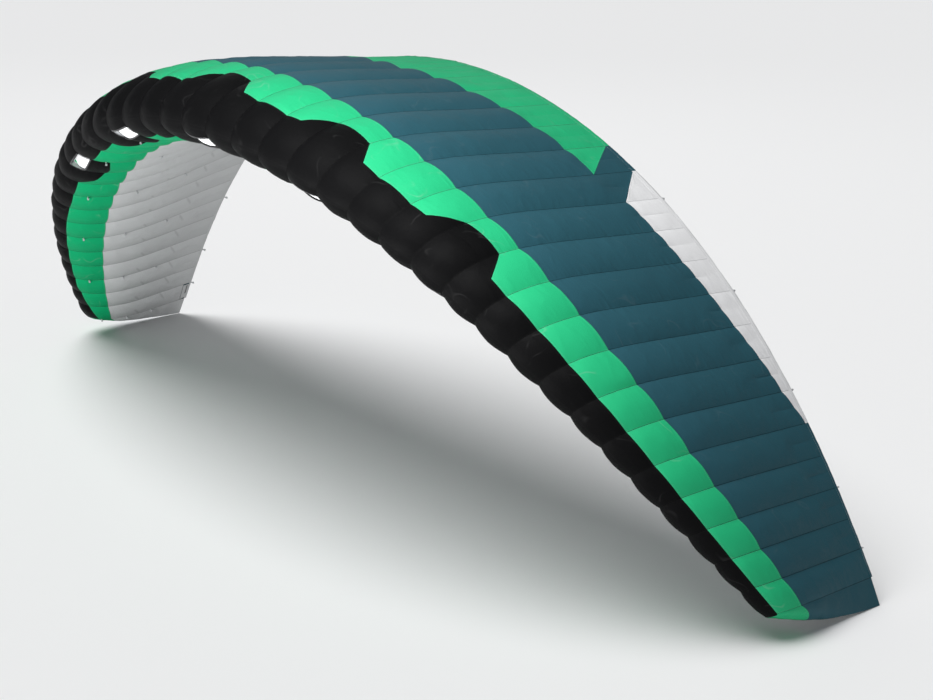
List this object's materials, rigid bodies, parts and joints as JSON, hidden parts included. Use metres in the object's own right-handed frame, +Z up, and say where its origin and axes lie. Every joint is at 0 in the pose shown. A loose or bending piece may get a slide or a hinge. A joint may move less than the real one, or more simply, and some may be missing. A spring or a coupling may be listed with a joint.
{
  "type": "parafoil kite",
  "caption": "Arched ram-air foil kite with closed cells, sewn colour panels, one-way nose intakes, tip drain flaps and loops for a bridle.",
  "frame": {"origin": "middle of the whole kite's box, at the height of its lowest point, with the canopy arched as it flies", "axes": "+X along the span towards the right tip, -Y towards the leading edge, +Y towards the trailing edge, +Z up, away from the bridle"},
  "size_m": [6.3872, 1.9858, 2.3827],
  "materials": {
    "batten_plastic": "flexible nylon rod",
    "binding_tape": "woven polyester tape",
    "black_cloth": "coated rip-stop cloth, black",
    "green_cloth": "coated rip-stop cloth, mint green",
    "hook_and_loop": "hook and loop strip",
    "pale_cloth": "coated rip-stop cloth, pale grey",
    "pale_webbing": "woven polyester webbing, pale grey",
    "petrol_cloth": "coated rip-stop cloth, petrol blue",
    "rib_cloth": "firm coated cloth, white",
    "rib_tape": "woven polyester tape",
    "valve_cloth": "soft coated cloth, white",
    "white_cloth": "coated rip-stop cloth, white"
  },
  "bodies": {
    "canopy": {"batten_pockets": "rib_cloth", "brake_loops": "pale_webbing", "diagonal_ribs_front": "rib_cloth", "diagonal_ribs_middle": "rib_cloth", "diagonal_ribs_rear": "rib_cloth", "end_ribs": "rib_cloth", "intake_hems": "binding_tape", "intake_lips": "black_cloth", "line_loops_front": "pale_webbing", "line_loops_middle": "pale_webbing", "line_loops_rear": "pale_webbing", "loaded_ribs": "rib_cloth", "lower_band_panels": "green_cloth", "lower_main_panels_centre": "pale_cloth", "lower_main_panels_left": "pale_cloth", "lower_main_panels_right": "pale_cloth", "lower_nose_panels": "black_cloth", "mini_ribs": "rib_cloth", "nose_battens": "batten_plastic", "plain_ribs": "rib_cloth", "rib_webbing_front": "rib_tape", "rib_webbing_middle": "rib_tape", "rib_webbing_rear": "rib_tape", "tip_cap_left": "petrol_cloth", "tip_cap_right": "petrol_cloth", "trailing_edge_tape": "binding_tape", "upper_accent_green": "green_cloth", "upper_accent_white": "white_cloth", "upper_band_panels": "green_cloth", "upper_main_panels_centre": "petrol_cloth", "upper_main_panels_left": "petrol_cloth", "upper_main_panels_right": "petrol_cloth", "upper_nose_panels": "black_cloth", "valve_hinge_strips": "binding_tape"},
    "intake_valve_left_outer": {"intake_valve_left_outer": "valve_cloth"},
    "intake_valve_left_inner": {"intake_valve_left_inner": "valve_cloth"},
    "intake_valve_centre": {"intake_valve_centre": "valve_cloth"},
    "intake_valve_right_inner": {"intake_valve_right_inner": "valve_cloth"},
    "intake_valve_right_outer": {"intake_valve_right_outer": "valve_cloth"},
    "drain_flap_left": {"drain_flap_left": "pale_cloth", "drain_closure_left": "hook_and_loop"},
    "drain_flap_right": {"drain_flap_right": "pale_cloth", "drain_closure_right": "hook_and_loop"}
  },
  "joints": [
    {"name": "valve_left_outer_hinge", "type": "hinge", "parent": "canopy", "child": "intake_valve_left_outer", "pos_m": [-1.6415, -0.7082, 1.62329], "axis": [0.8457, 0, 0.5337], "range_deg": [0, 60]},
    {"name": "valve_left_inner_hinge", "type": "hinge", "parent": "canopy", "child": "intake_valve_left_inner", "pos_m": [-0.86149, -0.87371, 1.96127], "axis": [0.9573, 0, 0.2891], "range_deg": [0, 60]},
    {"name": "valve_centre_hinge", "type": "hinge", "parent": "canopy", "child": "intake_valve_centre", "pos_m": [0, -0.93009, 2.08295], "axis": [1, 0, 0], "range_deg": [0, 60]},
    {"name": "valve_right_inner_hinge", "type": "hinge", "parent": "canopy", "child": "intake_valve_right_inner", "pos_m": [0.86149, -0.87371, 1.96127], "axis": [0.9573, 0, -0.2891], "range_deg": [0, 60]},
    {"name": "valve_right_outer_hinge", "type": "hinge", "parent": "canopy", "child": "intake_valve_right_outer", "pos_m": [1.6415, -0.7082, 1.62329], "axis": [0.8457, 0, -0.5337], "range_deg": [0, 60]},
    {"name": "drain_left_hinge", "type": "hinge", "parent": "canopy", "child": "drain_flap_left", "pos_m": [-3.05159, 0.91419, 0.18733], "axis": [-0.5112, 0.0801, -0.8557], "range_deg": [0, 75]},
    {"name": "drain_right_hinge", "type": "hinge", "parent": "canopy", "child": "drain_flap_right", "pos_m": [3.05159, 0.91419, 0.18733], "axis": [-0.5112, -0.0801, 0.8557], "range_deg": [0, 75]}
  ]
}
